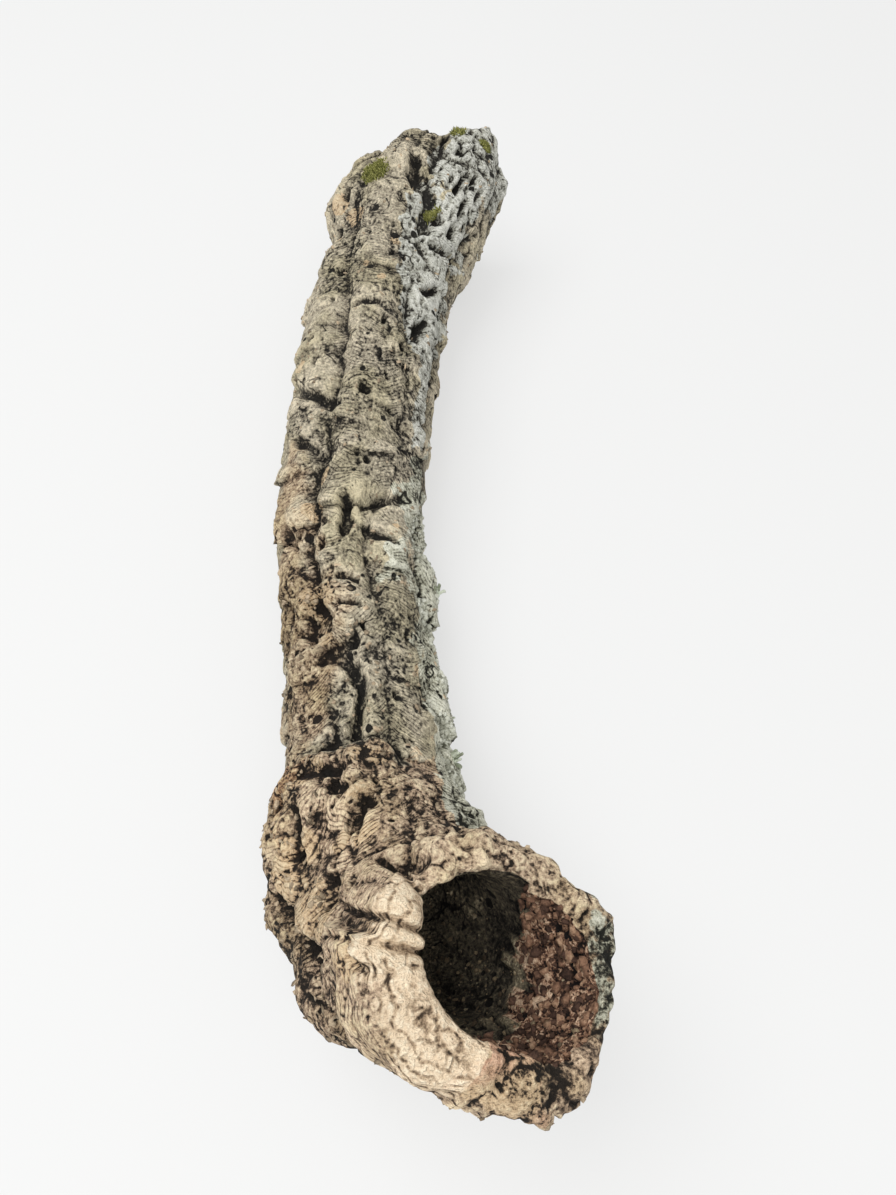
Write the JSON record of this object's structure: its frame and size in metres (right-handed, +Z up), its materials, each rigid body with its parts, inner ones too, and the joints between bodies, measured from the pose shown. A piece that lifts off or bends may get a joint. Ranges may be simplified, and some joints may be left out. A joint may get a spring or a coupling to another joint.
{
  "type": "piece of bark",
  "caption": "Hollow, gently curved tube of rough cork bark, bent up at one end into a wide open mouth.",
  "frame": {"origin": "on the surface that the bark lies on, under the middle of its box", "axes": "+Y runs along the tube from the bent-up mouth to the far end, +Z is up, +X is to the right seen from the mouth"},
  "size_m": [0.1196, 0.4466, 0.0981],
  "materials": {
    "bark": "matt, rough"
  },
  "bodies": {
    "root": {"bark": "bark"}
  },
  "joints": []
}
